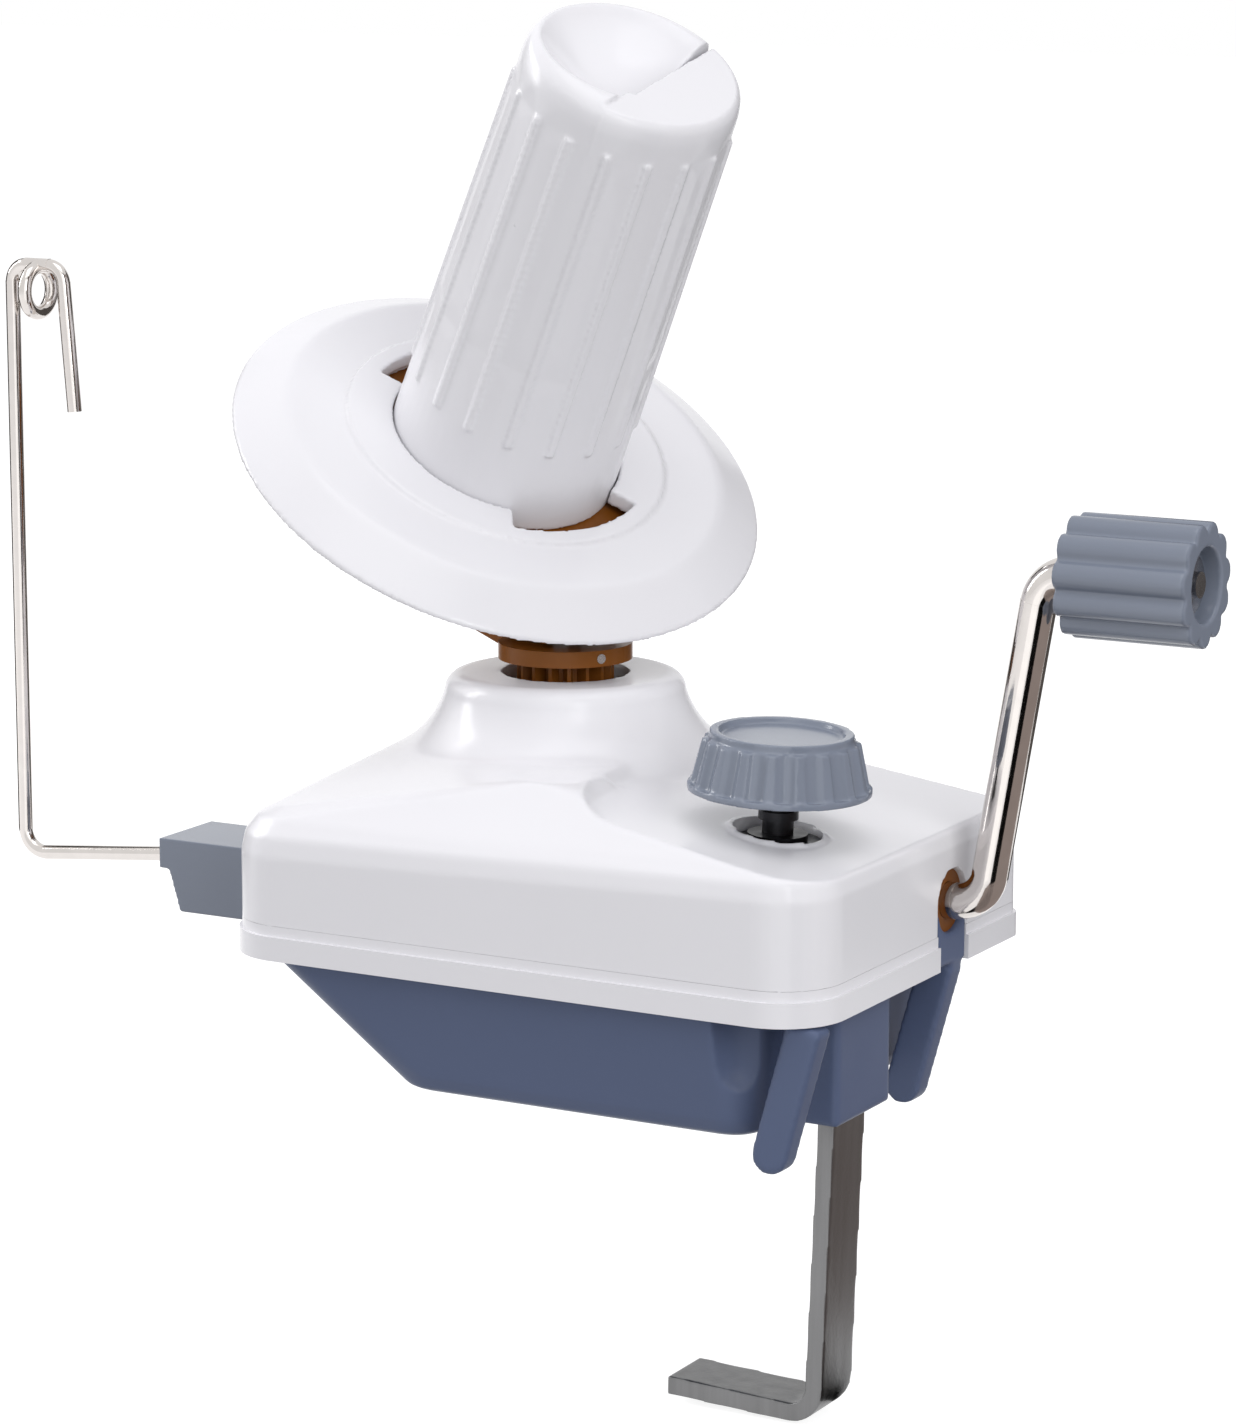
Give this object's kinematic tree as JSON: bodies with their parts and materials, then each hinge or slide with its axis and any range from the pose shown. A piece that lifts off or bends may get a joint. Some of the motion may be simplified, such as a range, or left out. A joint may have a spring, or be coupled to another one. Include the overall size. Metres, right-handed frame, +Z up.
{
  "type": "yarn ball winder",
  "caption": "Hand-cranked yarn ball winder: a leaning, turning cone and disc over a moulded gear case, with crank, wire yarn guide and screw table clamp.",
  "frame": {"origin": "on the spindle axis, in the table plane, on the flat underside of the base", "axes": "+Z up along the spindle, +X towards the crank end, -Y towards the front with the clamp knob"},
  "size_m": [0.215, 0.1063, 0.2202],
  "materials": {
    "white_plastic": "glossy moulded",
    "base_plastic": "fine satin moulded",
    "grip_plastic": "satin moulded",
    "brown_nylon": "satin nylon",
    "plated_steel": "bright nickel plate",
    "bar_steel": "zinc plated flat bar",
    "black_steel": "black oxide",
    "screw_steel": "zinc plated"
  },
  "bodies": {
    "frame": {"cover": "white_plastic", "base": "base_plastic", "cover_screws": "screw_steel", "crank_bush": "brown_nylon", "spindle_post": "screw_steel", "sun_gear": "brown_nylon", "clamp_washer": "black_steel", "guide_holder": "grip_plastic"},
    "crank": {"crank_rod": "plated_steel", "crown_gear": "brown_nylon", "rod_clip": "screw_steel", "grip_rivet": "screw_steel"},
    "grip": {"crank_grip": "grip_plastic"},
    "spindle": {"carrier": "brown_nylon", "cross_pin": "screw_steel", "tilt_axle": "screw_steel", "axle_screw": "screw_steel"},
    "winder": {"turntable": "brown_nylon", "flange_disc": "white_plastic", "winding_cone": "white_plastic"},
    "knob": {"clamp_knob": "grip_plastic", "clamp_screw": "black_steel"},
    "bar": {"clamp_bar": "bar_steel"},
    "guide": {"guide_wire": "plated_steel"}
  },
  "joints": [
    {"name": "crank_turn", "type": "hinge", "parent": "frame", "child": "crank", "pos_m": [0.05, 0, 0.0312], "axis": [1, 0, 0], "continuous": true},
    {"name": "spindle_turn", "type": "hinge", "parent": "frame", "child": "spindle", "pos_m": [0, 0, 0.05], "axis": [0, 0, 1], "continuous": true},
    {"name": "cone_spin", "type": "hinge", "parent": "spindle", "child": "winder", "pos_m": [0, 0, 0.129], "axis": [0.4686, -0.2598, 0.8443], "continuous": true},
    {"name": "grip_spin", "type": "hinge", "parent": "crank", "child": "grip", "pos_m": [0.1, 0, 0.0858], "axis": [1, 0, 0], "continuous": true},
    {"name": "clamp_turn", "type": "hinge", "parent": "frame", "child": "knob", "pos_m": [0.0528, -0.0254, 0.0452], "axis": [-0.0436, 0, -0.999], "range_deg": [0, 11705]},
    {"name": "bar_lift", "type": "slide", "parent": "frame", "child": "bar", "axis": [0.0436, 0, 0.999], "range_m": [0, 0.026]},
    {"name": "guide_swing", "type": "hinge", "parent": "frame", "child": "guide", "pos_m": [-0.066, -0.016, 0.0272], "axis": [0.9954, 0, 0.0958], "range_deg": [-90, 90]}
  ],
  "couplings": [
    {"joint": "spindle_turn", "follows": "crank_turn", "ratio": -2},
    {"joint": "cone_spin", "follows": "crank_turn", "ratio": -0.66667},
    {"joint": "clamp_turn", "follows": "bar_lift", "rad_per_m": 7854}
  ]
}
